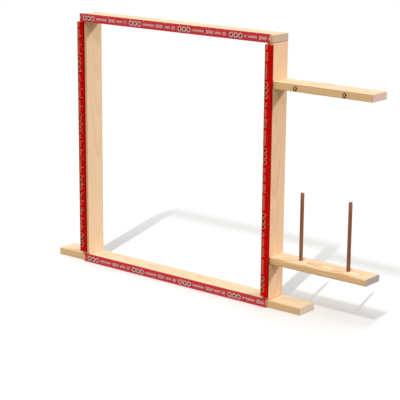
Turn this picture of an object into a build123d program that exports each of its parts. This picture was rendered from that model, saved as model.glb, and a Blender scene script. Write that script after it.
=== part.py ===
from build123d import *
from math import cos, radians, tan
import os

os.makedirs("parts", exist_ok=True)

# Rug-tufting frame with a yarn holder, in millimetres.
# X runs along the bottom board, Y from the cloth side to the back, and Z up.
# The origin is on the floor, midway between the uprights and midway through the boards' depth.

# Boards: planed softwood, nominal one by three
board_thickness = 19.0
board_depth = 63.5
board_round = 2.0
end_chamfer = 0.6
frame_width = 660.0
frame_height = 711.0
left_foot = 97.0
right_foot = 101.0

# Arms, let into housings across the outer face of the right upright
arm_reach = 292.0
arm_setback = 4.0
housing_depth = 6.0
upper_arm_base = 576.0
lower_arm_base = 115.5
lower_arm_round = 4.5

# Yarn dowels, and the screw eyes above them, which are set a little nearer the upright
dowel_radius = 5.0
dowel_rise = 179.0
dowel_round = 1.0
dowel_foot_radius = 4.5
dowel_foot_length = 12.5
dowel_hole_depth = 13.0
dowel_fit = 0.06
holder_offsets = {"inner": 75.0, "outer": 220.0}
eye_setback = 4.5
eye_wire_radius = 1.3
eye_ring_radius = 5.4
eye_ring_arc = 332.0
eye_neck = 1.0
eye_thread_radius = 1.6
eye_thread_length = 15.0
eye_fit = 0.05

# Tack strips: thin wooden battens nailed to the front edges of the four boards
strip_width = 22.0
strip_thickness = 6.35
strip_chamfer = 0.4
top_strip_rise = 2.0
top_strip_inset = 1.5
top_strip_length = 652.5
bottom_strip_lift = 0.0
bottom_strip_inset = 8.5
bottom_strip_length = 650.0
left_strip_overhang = 9.0
left_strip_base = 27.0
left_strip_length = 663.0
right_strip_overhang = 0.5
right_strip_base = 27.5
right_strip_length = 660.0

# Tacks: two staggered rows, leaning away from the window
tack_radius = 0.65
tack_point = 2.2
tack_reach = 5.0
tack_lean = 30.0
tack_pitch = 25.0
tack_rows = (7.5, -5.0)
tack_back_gap = 0.4
tack_hole_radius = 0.7

# Strip nails
nail_radius = 1.0
nail_head_radius = 2.2
nail_head_height = 0.8
nail_length = 25.0
nail_point = 2.5
nail_pitch = 137.5
nails_per_strip = 5

# Countersunk wood screws
screw_radius = 2.0
screw_root_radius = 1.45
screw_head_radius = 4.0
screw_head_sink = 0.3
screw_thread_pitch = 1.8
screw_point = 4.0
screw_plain_length = 14.0
countersink_radius = 4.4
corner_screw_length = 50.0
arm_screw_length = 40.0
screw_spacing = 32.0
recess_width = 0.9
recess_span = 3.8
recess_depth = 1.3

hole_clearance = 0.05
through_margin = 1.0

# Derived places
half_width = frame_width / 2
half_depth = board_depth / 2
front = -half_depth
board_centre = board_thickness / 2
left_centre = board_centre - half_width
right_centre = half_width - board_centre
right_inner_face = half_width - board_thickness
upright_top = frame_height - board_thickness
arm_root = half_width - housing_depth
arm_front = front + arm_setback
screw_rows = (-screw_spacing / 2, screw_spacing / 2)
screw_hole_radius = screw_radius + hole_clearance
nail_hole_radius = nail_radius + hole_clearance
eye_height = eye_neck + eye_wire_radius + eye_ring_radius
tack_grip = strip_thickness - tack_back_gap
tack_length = tack_grip / cos(radians(tack_lean)) + tack_reach
tack_drift = tack_grip * tan(radians(tack_lean))


def save(builder, name):
    """Label a finished piece and write its STEP file."""
    builder.part.label = name
    export_step(builder.part, f"parts/{name}.step")


def across(x, y, z):
    """The plane that a board running along X starts from, centred on y and z."""
    return Plane(origin=(x, y, z), x_dir=(0, 1, 0), z_dir=(1, 0, 0))


def facing_left(x, y, z):
    """A plane that looks along -X, for screws driven towards the right."""
    return Plane(origin=(x, y, z), x_dir=(0, 1, 0), z_dir=(-1, 0, 0))


def planed_board(plane, length, width, height, rounding):
    """In the open part: a board along the plane's normal, long edges rounded and ends eased."""
    with BuildSketch(plane) as section:
        RectangleRounded(width, height, rounding)
    extrude(section.sketch, amount=length)
    chamfer(faces().filter_by(plane).edges(), end_chamfer)


def drill(plane, places, radius, depth):
    """In the open part: plain holes, straight down from the plane."""
    with Locations(plane):
        with Locations(*places):
            Hole(radius, depth)


def countersink(plane, places, depth):
    """In the open part: countersunk screw holes, straight down from the plane."""
    with Locations(plane):
        with Locations(*places):
            CounterSinkHole(screw_hole_radius, countersink_radius, depth + through_margin, 90)


def group(one, plane, places):
    """Identical separate solids, one at each place in the plane's own frame."""
    with BuildPart() as copies:
        with Locations(plane):
            with Locations(*places):
                add(one.part)
    return copies


# Fasteners: each is made on its own, pointing down -Z from the face that it is driven into


def screw_outline(length):
    """Outline of a countersunk wood screw: head, plain shank, thread ridges and point."""
    points = [(0, 0), (screw_head_radius, 0), (screw_radius, screw_radius - screw_head_radius)]
    depth = screw_plain_length
    while depth + screw_thread_pitch < length - screw_point:
        points.append((screw_radius, -depth))
        points.append((screw_root_radius, -depth - screw_thread_pitch * 0.3))
        points.append((screw_root_radius, -depth - screw_thread_pitch * 0.7))
        depth += screw_thread_pitch
    points.append((screw_radius, -depth))
    points.append((0, -length))
    return points


def countersunk_screw(length):
    """A wood screw with a cross recess in its head."""
    with BuildPart() as screw:
        with BuildSketch(Plane.XZ):
            with BuildLine():
                Polyline(*screw_outline(length), close=True)
            make_face()
        revolve(axis=Axis.Z)
        with Locations((0, 0, -recess_depth / 2)):
            Box(recess_span, recess_width, recess_depth, mode=Mode.SUBTRACT)
            Box(recess_width, recess_span, recess_depth, mode=Mode.SUBTRACT)
    return screw


corner_screw = countersunk_screw(corner_screw_length)
arm_screw = countersunk_screw(arm_screw_length)

with BuildPart() as strip_nail:
    with BuildSketch(Plane.XZ):
        with BuildLine():
            Polyline(
                (0, nail_head_height),
                (nail_head_radius * 0.8, nail_head_height),
                (nail_head_radius, nail_head_height * 0.5),
                (nail_head_radius, 0),
                (nail_radius, 0),
                (nail_radius, nail_point - nail_length),
                (0, -nail_length),
                close=True,
            )
        make_face()
    revolve(axis=Axis.Z)

with BuildPart() as strip_tack:
    with BuildSketch(Plane.XZ):
        with BuildLine():
            Polyline(
                (0, 0),
                (tack_radius, 0),
                (tack_radius, tack_length - tack_point),
                (0, tack_length),
                close=True,
            )
        make_face()
    revolve(axis=Axis.Z)

# Tack strips: each has a plane at one end of its centre line, on the board's front edge.
# In that plane x runs along the strip, y points away from the window and z out of the board.


class Strip:
    """Where one tack strip lies, how long it is and where its nails go."""

    def __init__(self, origin, along, length, first_nail, nail_offset=0):
        self.plane = Plane(origin=origin, x_dir=along, z_dir=(0, -1, 0))
        self.length = length
        self.nails = [
            (first_nail + turn * nail_pitch, nail_offset) for turn in range(nails_per_strip)
        ]
        self.face = self.plane.offset(strip_thickness)
        self.tacks = []
        for row, start in zip(tack_rows, (tack_pitch * 0.5, tack_pitch)):
            for turn in range(int((length - start) / tack_pitch)):
                base = (start + turn * tack_pitch, row - tack_drift, tack_back_gap)
                self.tacks.append(Location(base, (-tack_lean, 0, 0)))


strips = {
    "top": Strip(
        (top_strip_inset - half_width, front, frame_height + top_strip_rise - strip_width / 2),
        (1, 0, 0),
        top_strip_length,
        first_nail=31.0,
    ),
    "bottom": Strip(
        (
            bottom_strip_inset + bottom_strip_length - half_width,
            front,
            bottom_strip_lift + strip_width / 2,
        ),
        (-1, 0, 0),
        bottom_strip_length,
        first_nail=70.0,
        nail_offset=2.0,
    ),
    "left": Strip(
        (strip_width / 2 - left_strip_overhang - half_width, front, left_strip_base),
        (0, 0, 1),
        left_strip_length,
        first_nail=40.0,
        nail_offset=-1.5,
    ),
    "right": Strip(
        (
            half_width + right_strip_overhang - strip_width / 2,
            front,
            right_strip_base + right_strip_length,
        ),
        (0, 0, -1),
        right_strip_length,
        first_nail=70.0,
    ),
}

for side, strip in strips.items():
    with BuildPart() as batten:
        with Locations(strip.plane):
            Box(
                strip.length,
                strip_width,
                strip_thickness,
                align=(Align.MIN, Align.CENTER, Align.MIN),
            )
        chamfer(edges().filter_by(Axis(strip.plane.origin, strip.plane.x_dir)), strip_chamfer)
        drill(strip.face, strip.nails, nail_hole_radius, strip_thickness + through_margin)
        with Locations(strip.plane):
            with Locations(*strip.tacks):
                Cylinder(tack_hole_radius, 3 * strip_thickness, mode=Mode.SUBTRACT)
    save(batten, f"{side}_tack_strip")
    save(group(strip_tack, strip.plane, strip.tacks), f"{side}_strip_tacks")
    save(group(strip_nail, strip.face, strip.nails), f"{side}_strip_nails")

# Boards

board_nail_depth = nail_length - strip_thickness + through_margin
top_face = Plane.XY.offset(frame_height)
bottom_face = Plane(origin=(0, 0, 0), x_dir=(1, 0, 0), z_dir=(0, 0, -1))
corner_places = [(x, y) for x in (left_centre, right_centre) for y in screw_rows]
upright_screw_places = [(0, y) for y in screw_rows]
upright_screw_depth = corner_screw_length - board_thickness + through_margin

with BuildPart() as bottom_board:
    planed_board(
        across(-half_width - left_foot, 0, board_centre),
        left_foot + frame_width + right_foot,
        board_depth,
        board_thickness,
        board_round,
    )
    countersink(bottom_face, corner_places, board_thickness)
    drill(strips["bottom"].plane, strips["bottom"].nails, nail_hole_radius, board_nail_depth)
save(bottom_board, "bottom_board")

with BuildPart() as top_board:
    planed_board(
        across(-half_width, 0, frame_height - board_centre),
        frame_width,
        board_depth,
        board_thickness,
        board_round,
    )
    countersink(top_face, corner_places, board_thickness)
    drill(strips["top"].plane, strips["top"].nails, nail_hole_radius, board_nail_depth)
save(top_board, "top_board")


def upright(x, strip):
    """In the open part: an upright with its fastener holes at both ends and down its front."""
    foot = Plane(origin=(x, 0, board_thickness), x_dir=(1, 0, 0), z_dir=(0, 0, 1))
    head = Plane(origin=(x, 0, upright_top), x_dir=(1, 0, 0), z_dir=(0, 0, 1))
    planed_board(
        foot, upright_top - board_thickness, board_thickness, board_depth, board_round
    )
    drill(foot, upright_screw_places, screw_hole_radius, upright_screw_depth)
    drill(head, upright_screw_places, screw_hole_radius, upright_screw_depth)
    drill(strip.plane, strip.nails, nail_hole_radius, board_nail_depth)


with BuildPart() as left_upright:
    upright(left_centre, strips["left"])
save(left_upright, "left_upright")

# Arms: flat boards let into the right upright and screwed from its inner face

arm_bases = {"upper": upper_arm_base, "lower": lower_arm_base}
arm_rounds = {"upper": board_round * 0.5, "lower": lower_arm_round}
arm_screw_places = [(y, 0) for y in screw_rows]
inner_faces = {}
arm_ends = {}
for level, base in arm_bases.items():
    inner_faces[level] = facing_left(right_inner_face, arm_setback, base + board_centre)
    arm_ends[level] = facing_left(arm_root, arm_setback, base + board_centre)

with BuildPart() as right_upright:
    upright(right_centre, strips["right"])
    for level, base in arm_bases.items():
        with Locations((arm_root, 0, base)):
            Box(
                board_thickness,
                board_depth,
                board_thickness,
                align=(Align.MIN, Align.CENTER, Align.MIN),
                mode=Mode.SUBTRACT,
            )
        countersink(inner_faces[level], arm_screw_places, board_thickness)
save(right_upright, "right_upright")

arm_screw_depth = arm_screw_length - (board_thickness - housing_depth) + through_margin
holder_places = {name: half_width + offset for name, offset in holder_offsets.items()}
eye_plane = Plane(
    origin=(0, arm_front, upper_arm_base + board_centre), x_dir=(0, 0, 1), z_dir=(0, -1, 0)
)
eye_places = {name: (0, eye_setback - x) for name, x in holder_places.items()}

with BuildPart() as upper_arm:
    planed_board(
        across(arm_root, arm_setback, upper_arm_base + board_centre),
        housing_depth + arm_reach,
        board_depth,
        board_thickness,
        arm_rounds["upper"],
    )
    drill(arm_ends["upper"], arm_screw_places, screw_hole_radius, arm_screw_depth)
    drill(
        eye_plane,
        eye_places.values(),
        eye_thread_radius + eye_fit,
        eye_thread_length + through_margin,
    )
save(upper_arm, "upper_arm")

lower_arm_top = lower_arm_base + board_thickness
with BuildPart() as lower_arm:
    planed_board(
        across(arm_root, arm_setback, lower_arm_base + board_centre),
        housing_depth + arm_reach,
        board_depth,
        board_thickness,
        arm_rounds["lower"],
    )
    drill(arm_ends["lower"], arm_screw_places, screw_hole_radius, arm_screw_depth)
    drill(
        Plane(origin=(0, arm_setback, lower_arm_top)),
        [(x, 0) for x in holder_places.values()],
        dowel_foot_radius + dowel_fit,
        dowel_hole_depth,
    )
save(lower_arm, "lower_arm")

# Screws

sunk_top = top_face.offset(-screw_head_sink)
sunk_bottom = bottom_face.offset(-screw_head_sink)
save(group(corner_screw, sunk_top, corner_places), "top_board_screws")
save(group(corner_screw, sunk_bottom, corner_places), "bottom_board_screws")
for level, plane in inner_faces.items():
    sunk = plane.offset(-screw_head_sink)
    save(group(arm_screw, sunk, arm_screw_places), f"{level}_arm_screws")

# Yarn dowels: each has a slimmer foot that stands loose in a blind hole in the lower arm

for name, x in holder_places.items():
    dowel_seat = Plane(origin=(x, arm_setback, lower_arm_top))
    with BuildPart() as dowel:
        with BuildSketch(dowel_seat):
            Circle(dowel_radius)
        extrude(amount=dowel_rise)
        fillet(faces().sort_by(Axis.Z)[-1].edges(), dowel_round)
        chamfer(faces().sort_by(Axis.Z)[0].edges(), dowel_round * 0.4)
        with BuildSketch(dowel_seat):
            Circle(dowel_foot_radius)
        extrude(amount=-dowel_foot_length)
        chamfer(faces().sort_by(Axis.Z)[0].edges(), dowel_round)
    save(dowel, f"{name}_yarn_dowel")

# Screw eyes: bent wire, a ring that stops just short of its own ridged shank


def eye_shank_outline():
    """Outline of the shank, from the wire's centre in the ring down to the point."""
    points = [(0, eye_height - eye_ring_radius), (eye_wire_radius, eye_height - eye_ring_radius)]
    depth = through_margin
    pitch = screw_thread_pitch * 0.6
    while depth + pitch < eye_thread_length - 2 * eye_thread_radius:
        points.append((eye_wire_radius, -depth))
        points.append((eye_thread_radius, -depth - pitch * 0.5))
        depth += pitch
    points.append((eye_wire_radius, -depth))
    points.append((0, -eye_thread_length))
    return points


with BuildPart() as screw_eye:
    with BuildSketch(Plane.XZ):
        with BuildLine():
            Polyline(*eye_shank_outline(), close=True)
        make_face()
    revolve(axis=Axis.Z)
    with BuildSketch(Plane.YZ):
        with Locations((0, eye_height - eye_ring_radius)):
            Circle(eye_wire_radius)
    revolve(axis=Axis((0, 0, eye_height), (0, 1, 0)), revolution_arc=eye_ring_arc)

for name, place in eye_places.items():
    save(group(screw_eye, eye_plane, [place]), f"{name}_screw_eye")
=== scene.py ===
import math

import bpy
from mathutils import Matrix, Vector


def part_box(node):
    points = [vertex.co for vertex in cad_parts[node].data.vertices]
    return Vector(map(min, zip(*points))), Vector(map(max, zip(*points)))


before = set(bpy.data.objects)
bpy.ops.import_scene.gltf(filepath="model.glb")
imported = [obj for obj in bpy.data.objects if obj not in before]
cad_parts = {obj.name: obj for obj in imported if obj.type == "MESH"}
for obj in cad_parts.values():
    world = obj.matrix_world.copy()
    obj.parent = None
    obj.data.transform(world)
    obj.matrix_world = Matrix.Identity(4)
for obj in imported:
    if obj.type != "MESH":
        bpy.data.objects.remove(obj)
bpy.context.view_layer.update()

# The looks of a rug-tufting frame: a procedural material for every piece, a floor, lamps and a camera.
# X runs along the foot board towards the arms, Y from the cloth side to the back, and Z up.

MM = 0.001
X, Y, Z = range(3)
WHITE = (1.0, 1.0, 1.0, 1.0)

# ---------------------------------------------------------------------------
# Camera
# ---------------------------------------------------------------------------

# Angles are in degrees, the distance and the target in metres, and the lens in millimetres.
CAMERA_AZIMUTH = 38.9
CAMERA_ELEVATION = 14.38
CAMERA_ROLL = 0.46
CAMERA_DISTANCE = 3.751
CAMERA_TARGET = Vector((0.0737, 0.0, 0.2401))
CAMERA_LENS = 125.3


def direction(azimuth, elevation):
    """Unit vector towards a place seen at this azimuth (0 in front, 90 on the +X side) and height."""
    a, e = math.radians(azimuth), math.radians(elevation)
    return Vector((math.sin(a) * math.cos(e), -math.cos(a) * math.cos(e), math.sin(e)))


def add_camera():
    data = bpy.data.cameras.new("camera")
    data.lens = CAMERA_LENS
    camera = bpy.data.objects.new("camera", data)
    bpy.context.collection.objects.link(camera)
    back = direction(CAMERA_AZIMUTH, CAMERA_ELEVATION)
    roll = Matrix.Rotation(math.radians(CAMERA_ROLL), 3, "Z")
    turn = (-back).to_track_quat("-Z", "Y").to_matrix() @ roll
    camera.matrix_world = Matrix.Translation(CAMERA_TARGET + back * CAMERA_DISTANCE) @ turn.to_4x4()
    bpy.context.scene.camera = camera


# ---------------------------------------------------------------------------
# Node graphs
# ---------------------------------------------------------------------------


class Field:
    """A number that varies over a surface. Fields are combined with ordinary arithmetic."""

    def __init__(self, graph, socket):
        self.graph = graph
        self.socket = socket

    def __add__(self, other):
        return self.graph.math("ADD", self, other)

    def __sub__(self, other):
        return self.graph.math("SUBTRACT", self, other)

    def __rsub__(self, other):
        return self.graph.math("SUBTRACT", other, self)

    def __mul__(self, other):
        return self.graph.math("MULTIPLY", self, other)

    def __truediv__(self, other):
        return self.graph.math("DIVIDE", self, other)

    def __abs__(self):
        return self.graph.math("ABSOLUTE", self)

    __radd__ = __add__


class Graph:
    """A node tree, and short ways to add to it."""

    def __init__(self, tree):
        self.tree = tree
        self.coordinates = tree.nodes.new("ShaderNodeTexCoord")

    def feed(self, socket, value):
        """Links a socket to a field or an output, or sets it to a plain value."""
        if isinstance(value, Field):
            value = value.socket
        if isinstance(value, bpy.types.NodeSocket):
            self.tree.links.new(value, socket)
        else:
            socket.default_value = value

    def math(self, operation, *values):
        node = self.tree.nodes.new("ShaderNodeMath")
        node.operation = operation
        for socket, value in zip(node.inputs, values):
            self.feed(socket, value)
        return Field(self, node.outputs[0])

    def least(self, a, b):
        return self.math("MINIMUM", a, b)

    def most(self, a, b):
        return self.math("MAXIMUM", a, b)

    def step(self, value, start, end):
        """A smooth step from 0 at start to 1 at end. Start may be the larger one."""
        node = self.tree.nodes.new("ShaderNodeMapRange")
        node.interpolation_type = "SMOOTHSTEP"
        rising = start < end
        self.feed(node.inputs["Value"], value)
        node.inputs["From Min"].default_value = min(start, end)
        node.inputs["From Max"].default_value = max(start, end)
        node.inputs["To Min"].default_value = 0.0 if rising else 1.0
        node.inputs["To Max"].default_value = 1.0 if rising else 0.0
        return Field(self, node.outputs["Result"])

    def within(self, distance, limit, softness):
        """1 where the distance is small, falling softly to 0 as it reaches the limit."""
        return self.step(distance, limit, limit - softness)

    def split(self, vector):
        node = self.tree.nodes.new("ShaderNodeSeparateXYZ")
        self.feed(node.inputs[0], vector)
        return [Field(self, output) for output in node.outputs]

    def join(self, x, y, z):
        node = self.tree.nodes.new("ShaderNodeCombineXYZ")
        for socket, value in zip(node.inputs, (x, y, z)):
            self.feed(socket, value)
        return node.outputs[0]

    def noise(self, vector, detail=2.0, roughness=0.5):
        """Smooth noise about 0.5, one lump to a unit of the vector."""
        node = self.tree.nodes.new("ShaderNodeTexNoise")
        self.feed(node.inputs["Vector"], vector)
        node.inputs["Scale"].default_value = 1.0
        node.inputs["Detail"].default_value = detail
        node.inputs["Roughness"].default_value = roughness
        return Field(self, node.outputs[0])

    def dice(self, value, seed):
        """A number from 0 to 1, drawn afresh for each whole part of the value."""
        node = self.tree.nodes.new("ShaderNodeTexWhiteNoise")
        node.noise_dimensions = "1D"
        self.feed(node.inputs["W"], self.math("FLOOR", value) + seed)
        return Field(self, node.outputs["Value"])

    def mix(self, factor, first, second, blend="MIX"):
        node = self.tree.nodes.new("ShaderNodeMix")
        node.data_type = "RGBA"
        node.blend_type = blend
        colour_sockets = [socket for socket in node.inputs if socket.type == "RGBA"]
        self.feed(node.inputs[0], factor)
        self.feed(colour_sockets[0], first)
        self.feed(colour_sockets[1], second)
        return next(socket for socket in node.outputs if socket.type == "RGBA")

    def shade(self, colour, amount):
        """The colour made lighter or darker: amount is a field about 1."""
        return self.mix(1.0, colour, self.join(amount, amount, amount), blend="MULTIPLY")

    def curve(self, value, stops):
        """A field remapped through (place, level) stops."""
        node = self.tree.nodes.new("ShaderNodeValToRGB")
        self.feed(node.inputs[0], value)
        elements = node.color_ramp.elements
        while len(elements) < len(stops):
            elements.new(0.5)
        for element, (place, level) in zip(elements, stops):
            element.position = place
            element.color = (level, level, level, 1.0)
        return Field(self, node.outputs["Color"])


class MaterialGraph(Graph):
    """The node tree of one material."""

    def __init__(self, name):
        self.material = bpy.data.materials.new(name)
        self.material.use_nodes = True
        super().__init__(self.material.node_tree)
        self.shader = self.tree.nodes["Principled BSDF"]

    def finish(self, colour, roughness, height, relief, metallic=0.0, specular=0.5):
        """Wires the shader. Height is a field, and relief is how many metres a height of 1 stands."""
        bump = self.tree.nodes.new("ShaderNodeBump")
        bump.inputs["Strength"].default_value = 1.0
        bump.inputs["Distance"].default_value = relief
        self.feed(bump.inputs["Height"], height)
        self.feed(self.shader.inputs["Base Color"], colour)
        self.feed(self.shader.inputs["Roughness"], roughness)
        self.feed(self.shader.inputs["Normal"], bump.outputs["Normal"])
        self.shader.inputs["Metallic"].default_value = metallic
        self.shader.inputs["Specular IOR Level"].default_value = specular
        return self.material


def srgb(red, green, blue):
    """A linear colour from 8-bit display values."""
    return tuple((level / 255.0) ** 2.2 for level in (red, green, blue)) + (1.0,)


class BoardGraph(MaterialGraph):
    """A material with a board's own coordinates, from its centre and in metres: u along the grain,
    v across its width and w across its thickness."""

    # A face starts to count as facing an axis, and then wholly counts, at these parts of its normal.
    FACE_TURN = (0.55, 0.85)
    FRONT_TURN = (-0.5, -0.9)
    # How far a seed of 1 moves a noise along the grain and across it.
    SEED_SHIFT = (7.3, 3.1)

    def __init__(self, name, node, along):
        super().__init__(name)
        low, high = (Vector(corner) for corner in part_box(node))
        self.centre = (low + high) / 2
        self.half = (high - low) / 2
        across = [axis for axis in (X, Y, Z) if axis != along]
        self.wide, self.thin = sorted(across, key=lambda axis: -self.half[axis])
        place = self.split(self.coordinates.outputs["Object"])
        normal = self.split(self.coordinates.outputs["Normal"])
        self.u, self.v, self.w = (
            place[axis] - self.centre[axis] for axis in (along, self.wide, self.thin)
        )
        self.end_face = self.step(abs(normal[along]), *self.FACE_TURN)
        self.narrow_face = self.step(abs(normal[self.wide]), *self.FACE_TURN)
        self.front_face = self.step(normal[Y], *self.FRONT_TURN)
        self.edge_distance = self.nearest_edge(place)

    def nearest_edge(self, place):
        """Distance from the nearest edge of the box: the middle one of the three wall distances."""
        a, b, c = (self.half[axis] - abs(place[axis] - self.centre[axis]) for axis in (X, Y, Z))
        return self.most(self.least(a, b), self.least(self.most(a, b), c))

    def grain_vector(self, along_scale, across_scale, seed):
        """Coordinates for a noise that is stretched along the grain, in lumps per metre."""
        return self.join(
            self.u * along_scale + seed * self.SEED_SHIFT[0],
            self.v * across_scale + seed * self.SEED_SHIFT[1],
            self.w * across_scale,
        )


# ---------------------------------------------------------------------------
# Pine
# ---------------------------------------------------------------------------

# Where each board was cut from its log. The pith is the log's centre line, in millimetres from the
# board's centre across its width and its thickness, and the lean is how far it drifts in a metre.
# Figure is how strong the grain shows, warmth how orange it is, and end the tone of the sawn ends.
BOARDS = {
    "bottom_board": {
        "along": X,
        "pith": (9, -52),
        "lean": (12, 46),
        "figure": 0.5,
        "warmth": 0.2,
        "end": srgb(226, 204, 186),
    },
    "top_board": {
        "along": X,
        "pith": (-24, 58),
        "lean": (-20, 30),
        "figure": 0.35,
        "warmth": 0.2,
        "end": srgb(202, 178, 157),
    },
    "left_upright": {
        "along": Z,
        "pith": (12, 74),
        "lean": (18, -36),
        "figure": 0.3,
        "warmth": 0.45,
        "end": srgb(220, 190, 168),
    },
    "right_upright": {
        "along": Z,
        "pith": (-15, -63),
        "lean": (-26, 44),
        "figure": 0.4,
        "warmth": 0.75,
        "end": srgb(220, 190, 168),
        # Painted shadow lines where this board meets the top and bottom boards.
        "seam_shadow_depth": 0.8,
    },
    "upper_arm": {
        "along": X,
        "pith": (18, -70),
        "lean": (30, -40),
        "figure": 0.5,
        "warmth": 0.2,
        "end": srgb(226, 192, 181),
    },
    "lower_arm": {
        "along": X,
        "pith": (-6, -34),
        "lean": (22, 60),
        "figure": 1.5,
        "warmth": 0.0,
        "end": srgb(178, 164, 162),
    },
}
PALE_EARLY_WOOD, WARM_EARLY_WOOD = srgb(247, 221, 182), srgb(236, 192, 153)
PALE_LATE_WOOD, WARM_LATE_WOOD = srgb(220, 164, 106), srgb(208, 134, 84)
# Edge-grain tint for the narrow faces, which also darkens them as painted shade.
NARROW_FACE_TINT_AND_SHADE = (1.04, 0.93, 0.74, 1.0)
RESIN = srgb(150, 96, 52)
# Colour of the painted shadow lines at the joints where boards meet.
JOINT_PAINTED_SHADOW = srgb(84, 58, 36)
HANDLED_EDGE = srgb(206, 156, 108)
SEAM_SHADOW_LENGTH = 1.6 * MM
HANDLED_WIDTH = 3.2 * MM
HANDLED_SOFTNESS = 2.6 * MM
PINE_RELIEF = 0.12 * MM
RING_SPACING = 4.2 * MM
RING_WANDER = (7 * MM, 4 * MM)
# How dark the wood is at places across one ring: it darkens slowly, then stops short.
RING_PROFILE = [(0.0, 0.0), (0.4, 0.1), (0.8, 0.6), (0.93, 1.0), (1.0, 0.1)]


def pine(node, along, pith, lean, figure, warmth, end, seed, seam_shadow_depth=0.0):
    """Planed softwood: growth rings round the pith, fine fibres, resin flecks and browner edges.
    Seam shadow depth is how dark the painted shadow lines at the board's two ends are."""
    g = BoardGraph(f"{node}_pine", node, along)
    wander = g.noise(g.grain_vector(4.0, 16.0, seed)) - 0.5
    drift = [g.u * (slope * MM) for slope in lean]
    dv = g.v - pith[0] * MM - drift[0] + wander * RING_WANDER[0]
    dw = g.w - pith[1] * MM - drift[1] + wander * RING_WANDER[1]
    radius = g.math("SQRT", dv * dv + dw * dw)
    ripple = g.noise(g.grain_vector(9.0, 90.0, seed + 1)) - 0.5
    rings = radius / RING_SPACING + ripple * 0.45
    ring_strength = g.dice(rings, seed) * 0.6 + 0.4
    late_wood = g.curve(g.math("FRACT", rings), RING_PROFILE) * ring_strength
    fibres = g.noise(g.grain_vector(28.0, 1500.0, seed + 2), detail=3.0)
    streaks = g.noise(g.grain_vector(3.0, 120.0, seed + 3), detail=3.0)
    blotches = g.noise(g.grain_vector(5.0, 14.0, seed + 4))
    flecks = g.step(g.noise(g.grain_vector(60.0, 1100.0, seed + 5)), 0.68, 0.78)

    early = g.mix(warmth, PALE_EARLY_WOOD, WARM_EARLY_WOOD)
    late = g.mix(warmth, PALE_LATE_WOOD, WARM_LATE_WOOD)
    colour = g.mix(late_wood * figure, early, late)
    colour = g.mix(g.step(streaks, 0.54, 0.76) * (0.5 * figure), colour, late)
    colour = g.shade(colour, 0.84 + blotches * 0.1 + fibres * 0.1)
    colour = g.mix(flecks * 0.35, colour, RESIN)
    # The narrow front and back faces: partly an edge-grain tint, partly painted shade.
    colour = g.mix(g.narrow_face, colour, g.mix(1.0, colour, NARROW_FACE_TINT_AND_SHADE, blend="MULTIPLY"))
    end_colour = g.shade(end, 1.02 - late_wood * 0.3)
    end_colour = g.shade(end_colour, 0.86 + fibres * 0.2)
    colour = g.mix(g.end_face, colour, end_colour)

    # A painted shadow line at each end of the board, where it meets the next board.
    seam_shadow_mask = g.within(g.half[along] - abs(g.u), SEAM_SHADOW_LENGTH, SEAM_SHADOW_LENGTH / 2) * seam_shadow_depth
    colour = g.mix(seam_shadow_mask, colour, JOINT_PAINTED_SHADOW)
    edge_distance = g.edge_distance + (blotches - 0.5) * (3 * MM)
    handled = g.within(edge_distance, HANDLED_WIDTH, HANDLED_SOFTNESS)
    colour = g.mix(handled * 0.3, colour, HANDLED_EDGE)
    roughness = 0.56 + late_wood * 0.08 + (fibres - 0.5) * 0.2 + g.end_face * 0.18 - handled * 0.1
    height = fibres * (0.5 + g.end_face) - late_wood * 0.35 - flecks * 0.5
    return g.finish(colour, roughness, height, PINE_RELIEF, specular=0.35)


# ---------------------------------------------------------------------------
# Printed tack strips
# ---------------------------------------------------------------------------

# Shift is how far the print sits from the strip's centre line, in millimetres: on the vertical strips
# it is nearer the left edge. The paler, pinker red of the horizontal strips is a painted sheen.
STRIPS = {
    "top": {"along": X, "shift": 0.0, "red": srgb(226, 62, 74), "ink": srgb(255, 226, 214)},
    "bottom": {"along": X, "shift": 0.0, "red": srgb(226, 66, 76), "ink": srgb(255, 228, 218)},
    "left": {"along": Z, "shift": -5.5, "red": srgb(210, 1, 2), "ink": srgb(216, 142, 104)},
    "right": {"along": Z, "shift": -5.5, "red": srgb(220, 2, 3), "ink": srgb(222, 152, 116)},
}
PATTERN_LENGTH = 170 * MM
PATTERN_START = 12 * MM
STRETCH_SOFTNESS = 0.4 * MM
STROKE_SOFTNESS = 0.6 * MM
ROSETTE_PITCH = 15 * MM
ROSETTE_PETALS = 9.0
ROSETTE_CORE = 3.1 * MM
PETAL_MIDDLE = 5.3 * MM
PETAL_REACH = 2.3 * MM
TOOTH_PITCH = 5 * MM
TOOTH_HEIGHT = 2.6 * MM
TOOTH_STROKE = 1.9 * MM
DIAMOND_PITCH = 6 * MM
DIAMOND_HEIGHT = 4.4 * MM
DIAMOND_HEIGHT_SPREAD = 1.6 * MM
SHADOW_OFFSET = 1.3 * MM
PLY_PAIR_THICKNESS = 2.1 * MM
PRINT_RELIEF = 0.08 * MM
DARK_INK = srgb(66, 14, 13)
BARE_WOOD = srgb(226, 188, 146)
PALE_PLY = srgb(232, 208, 172)
BROWN_PLY = srgb(196, 156, 112)


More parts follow.
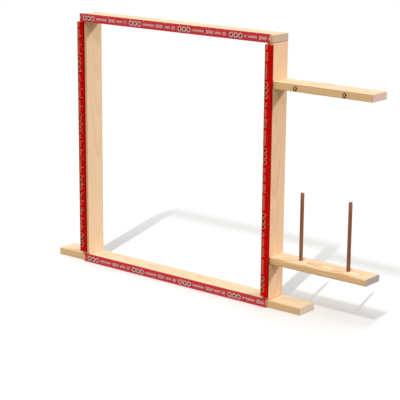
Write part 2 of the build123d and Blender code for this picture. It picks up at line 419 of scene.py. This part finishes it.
def border(g, u, v, seed):
    """A printed border that repeats along u: rosettes, then zigzags and rows of diamonds by turns.
    Returns the pale marks and the dark cores inside them."""
    place = g.math("FRACT", u / PATTERN_LENGTH) * PATTERN_LENGTH

    def stretch(start, end):
        """1 from start to end along each repeat, in millimetres, and 0 elsewhere."""
        middle, half = (start + end) / 2 * MM, (end - start) / 2 * MM
        return g.within(abs(place - middle), half, STRETCH_SOFTNESS)

    rosette_u = (g.math("FRACT", place / ROSETTE_PITCH) - 0.5) * ROSETTE_PITCH
    reach = g.math("SQRT", rosette_u * rosette_u + v * v)
    petals = g.math("SINE", g.math("ARCTAN2", v, rosette_u) * ROSETTE_PETALS)
    petal_ring = g.within(abs(reach - PETAL_MIDDLE), PETAL_REACH, 0.5 * MM)
    rosettes = g.step(petals, -0.6, 0.0) * petal_ring
    rosette_cores = g.within(reach, ROSETTE_CORE, STROKE_SOFTNESS)

    tooth = abs(g.math("FRACT", place / TOOTH_PITCH) - 0.5) * 4.0 - 1.0
    zigzag = g.within(abs(v - tooth * TOOTH_HEIGHT), TOOTH_STROKE, STROKE_SOFTNESS)

    side = abs(g.math("FRACT", place / DIAMOND_PITCH) - 0.5) * 2.0
    extra_height = g.dice(place / DIAMOND_PITCH, seed) * DIAMOND_HEIGHT_SPREAD
    diamond = side + abs(v) / (extra_height + DIAMOND_HEIGHT)
    diamonds = g.within(abs(diamond - 0.82), 0.32, 0.1)
    diamond_cores = g.within(diamond, 0.5, 0.1)

    rosette_row = stretch(0, 45)
    zigzag_rows = stretch(50, 90) + stretch(125, 145)
    diamond_rows = stretch(96, 120) + stretch(150, 162)
    marks = rosettes * rosette_row + zigzag * zigzag_rows + diamonds * diamond_rows
    cores = rosette_cores * rosette_row + diamond_cores * diamond_rows
    return g.least(marks, 1.0), g.least(cores, 1.0)


def printed_strip(side, along, shift, red, ink, seed):
    """Thin plywood with a red printed face: pale worn marks over a dark copy of them that is set a
    little aside, raw layered ends, and long edges whose red stain is darkened as painted shade."""
    g = BoardGraph(f"{side}_strip_print", f"{side}_tack_strip", along)
    u = g.u + g.half[along] - PATTERN_START
    v = g.v - shift * MM
    marks, cores = border(g, u, v, seed)
    shadows, _ = border(g, u - SHADOW_OFFSET, v + SHADOW_OFFSET, seed)
    wear = g.noise(g.grain_vector(90.0, 420.0, seed), detail=3.0, roughness=0.6)
    worn = g.step(wear, 0.27, 0.42)
    fibres = g.noise(g.grain_vector(30.0, 1400.0, seed + 1), detail=3.0)
    fading = g.noise(g.grain_vector(7.0, 20.0, seed + 2))

    face = g.shade(g.mix(fading, red, g.shade(red, 1.12)), 0.86 + fibres * 0.16)
    face = g.mix(g.most(shadows * 0.85, cores), face, DARK_INK)
    face = g.mix(marks * worn * 0.95, face, ink)
    scuffs = g.step(wear, 0.7, 0.76) * g.step(g.edge_distance, 3.0 * MM, 0.8 * MM)
    face = g.mix(scuffs, face, BARE_WOOD)
    # The long edges carry the red stain, darkened as painted shade.
    shaded_long_edge = g.shade(red, 0.4 + fibres * 0.2)
    colour = g.mix(g.front_face, shaded_long_edge, face)
    plies = g.math("FRACT", (g.w + g.half[g.thin]) / PLY_PAIR_THICKNESS)
    ply = g.mix(g.step(plies, 0.45, 0.55), PALE_PLY, BROWN_PLY)
    colour = g.mix(g.end_face, colour, g.shade(ply, 0.85 + fibres * 0.25))

    roughness = 0.58 + (wear - 0.5) * 0.25 + g.end_face * 0.2
    height = fibres * 0.6 + marks * worn * 0.5 - scuffs
    return g.finish(colour, roughness, height, PRINT_RELIEF, specular=0.05)


# ---------------------------------------------------------------------------
# Dowels and metal
# ---------------------------------------------------------------------------

DOWEL_STAIN, DOWEL_DARK_STAIN = srgb(154, 97, 58), srgb(112, 67, 40)
DOWEL_PORE = srgb(70, 38, 24)
DOWEL_RUBBED = srgb(188, 138, 98)
DOWEL_END = srgb(120, 78, 52)
DOWEL_RELIEF = 0.08 * MM
RUBBED_LENGTH = 40 * MM

# Scale is how many cloudy patches of the dull tone there are in a metre.
METALS = {
    "tack_steel": {
        "bright": srgb(205, 200, 192),
        "dull": srgb(150, 142, 132),
        "scale": 700.0,
        "roughness": 0.32,
        "relief": 0.01 * MM,
    },
    "nail_steel": {
        "bright": srgb(96, 84, 76),
        "dull": srgb(44, 36, 33),
        "scale": 500.0,
        "roughness": 0.45,
        "relief": 0.02 * MM,
    },
    "screw_zinc": {
        "bright": srgb(214, 204, 172),
        "dull": srgb(168, 158, 132),
        "scale": 400.0,
        "roughness": 0.34,
        "relief": 0.02 * MM,
    },
    "eye_brass": {
        "bright": srgb(104, 60, 32),
        "dull": srgb(50, 27, 14),
        "scale": 450.0,
        "roughness": 0.3,
        "relief": 0.02 * MM,
    },
}
SCRATCH_SCALES = (3200.0, 900.0, 3200.0)


def dowel_wood(node, seed):
    """Fine straight-grained hardwood, stained reddish brown, a little rubbed at the top."""
    g = BoardGraph(f"{node}_wood", node, Z)
    fibres = g.noise(g.grain_vector(20.0, 1800.0, seed), detail=3.0)
    streaks = g.noise(g.grain_vector(6.0, 420.0, seed + 1), detail=3.0)
    pores = g.step(g.noise(g.grain_vector(110.0, 2600.0, seed + 2)), 0.64, 0.72)
    colour = g.mix(g.step(streaks, 0.3, 0.7), DOWEL_STAIN, DOWEL_DARK_STAIN)
    colour = g.mix(pores * 0.5, colour, DOWEL_PORE)
    rubbed = g.step(g.u + (streaks - 0.5) * (30 * MM), g.half[Z] - RUBBED_LENGTH, g.half[Z])
    colour = g.mix(rubbed * 0.35, colour, DOWEL_RUBBED)
    colour = g.mix(g.end_face * 0.6, colour, DOWEL_END)
    roughness = 0.42 + (fibres - 0.5) * 0.2 - rubbed * 0.08
    return g.finish(colour, roughness, fibres * 0.6 - pores, DOWEL_RELIEF, specular=0.45)


def metal(name, bright, dull, scale, roughness, relief):
    """Wire or rod metal: two tones in cloudy patches, with fine scratches."""
    g = MaterialGraph(name)
    place = g.split(g.coordinates.outputs["Object"])
    clouds = g.noise(g.join(*(part * scale for part in place)), detail=3.0)
    scratches = g.noise(g.join(*(part * fine for part, fine in zip(place, SCRATCH_SCALES))))
    colour = g.mix(g.step(clouds, 0.35, 0.65), bright, dull)
    rough = roughness + (clouds - 0.5) * 0.3 + (scratches - 0.5) * 0.12
    return g.finish(colour, rough, scratches + clouds, relief, metallic=1.0)


def paint(node, material):
    """Gives every slot of a CAD node the material."""
    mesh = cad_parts[node].data
    if not mesh.materials:
        mesh.materials.append(material)
    for index in range(len(mesh.materials)):
        mesh.materials[index] = material


def paint_everything():
    for seed, (node, cut) in enumerate(BOARDS.items()):
        paint(node, pine(node, seed=seed * 11.0, **cut))
    metals = {name: metal(name, **look) for name, look in METALS.items()}
    for seed, (side, look) in enumerate(STRIPS.items()):
        paint(f"{side}_tack_strip", printed_strip(side, seed=seed * 17.0 + 3.0, **look))
        paint(f"{side}_strip_tacks", metals["tack_steel"])
        paint(f"{side}_strip_nails", metals["nail_steel"])
    for group in ("top_board", "bottom_board", "upper_arm", "lower_arm"):
        paint(f"{group}_screws", metals["screw_zinc"])
    for seed, holder in enumerate(("inner", "outer")):
        paint(f"{holder}_yarn_dowel", dowel_wood(f"{holder}_yarn_dowel", seed * 5.0 + 2.0))
        paint(f"{holder}_screw_eye", metals["eye_brass"])


# ---------------------------------------------------------------------------
# Floor, lights and surroundings
# ---------------------------------------------------------------------------

FLOOR_SIZE = 3.2
FLOOR_GAP = 0.2 * MM
FLOOR_RELIEF = 0.01 * MM
FLOOR_TONE = srgb(250, 250, 250)
# The lamps are so far away that the light of each one is nearly parallel.
LAMP_DISTANCE = 300.0
LAMP_TARGET = Vector((0.1, 0.0, 0.3))
# The sky brightens from the limit, which is a cosine from its bright side, up to that side.
SKY_DIM = (0.37, 0.34, 0.30, 1.0)
SKY_BRIGHT = (0.80, 0.81, 0.82, 1.0)
SKY_BRIGHT_SIDE = Vector((0.0, 0.3, 0.95))
SKY_DIM_LIMIT = -0.05


def add_floor():
    """A wide white floor, just under the foot board. It throws no light back at the object, which
    takes the light of the sky's dim side from below instead."""
    half = FLOOR_SIZE / 2
    corners = [(-half, -half), (half, -half), (half, half), (-half, half)]
    mesh = bpy.data.meshes.new("floor")
    mesh.from_pydata([(x, y, -FLOOR_GAP) for x, y in corners], [], [(0, 1, 2, 3)])
    floor = bpy.data.objects.new("floor", mesh)
    bpy.context.collection.objects.link(floor)
    g = MaterialGraph("floor_white")
    x, y, z = g.split(g.coordinates.outputs["Object"])
    haze = g.noise(g.join(x * 3.0, y * 3.0, z))
    colour = g.shade(FLOOR_TONE, 0.995 + haze * 0.01)
    floor.data.materials.append(g.finish(colour, 0.9, haze, FLOOR_RELIEF, specular=0.0))
    floor.visible_diffuse = False
    return floor


def add_lamp(name, azimuth, elevation, level, width, height, lit=None):
    """A flat lamp facing the object. Width and height are the angles that it fills, in degrees, and
    level is what it adds to the brightness of a white surface that faces it. It lights only the
    objects in lit, or everything where lit isn't given."""
    data = bpy.data.lights.new(name, "AREA")
    data.shape = "RECTANGLE"
    data.size = 2 * LAMP_DISTANCE * math.tan(math.radians(width) / 2)
    data.size_y = 2 * LAMP_DISTANCE * math.tan(math.radians(height) / 2)
    data.energy = level * (math.pi * LAMP_DISTANCE) ** 2
    lamp = bpy.data.objects.new(name, data)
    bpy.context.collection.objects.link(lamp)
    towards = direction(azimuth, elevation)
    lamp.matrix_world = Matrix.Translation(LAMP_TARGET + towards * LAMP_DISTANCE) @ (
        towards.to_track_quat("Z", "Y").to_matrix().to_4x4()
    )
    if lit is not None:
        receivers = bpy.data.collections.new(f"{name}_lit")
        for item in lit:
            receivers.objects.link(item)
        lamp.light_linking.receiver_collection = receivers


def add_surroundings():
    """A sky that is bright and cool overhead and behind, and dim and warm below. The camera sees it
    as plain white."""
    world = bpy.data.worlds.new("surroundings")
    world.use_nodes = True
    g = Graph(world.node_tree)
    across, away, up = g.split(g.coordinates.outputs["Generated"])
    facing = across * SKY_BRIGHT_SIDE.x + away * SKY_BRIGHT_SIDE.y + up * SKY_BRIGHT_SIDE.z
    sky = g.mix(g.step(facing, SKY_DIM_LIMIT, 1.0), SKY_DIM, SKY_BRIGHT)
    light_path = g.tree.nodes.new("ShaderNodeLightPath")
    seen = g.mix(light_path.outputs["Is Camera Ray"], sky, WHITE)
    g.feed(g.tree.nodes["Background"].inputs["Color"], seen)
    bpy.context.scene.world = world


add_camera()
paint_everything()
floor = add_floor()
add_surroundings()
object_nodes = list(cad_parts.values())
add_lamp("key", azimuth=17.5, elevation=50.5, level=0.38, width=1.0, height=5.5)
add_lamp("overhead_key", azimuth=17.5, elevation=67.0, level=0.12, width=1.0, height=22.0)
add_lamp("rim", azimuth=128.0, elevation=27.0, level=0.58, width=6.0, height=6.0, lit=object_nodes)
add_lamp("floor_fill", azimuth=0.0, elevation=89.0, level=0.07, width=20.0, height=20.0, lit=[floor])
bpy.context.scene.view_settings.view_transform = "Standard"
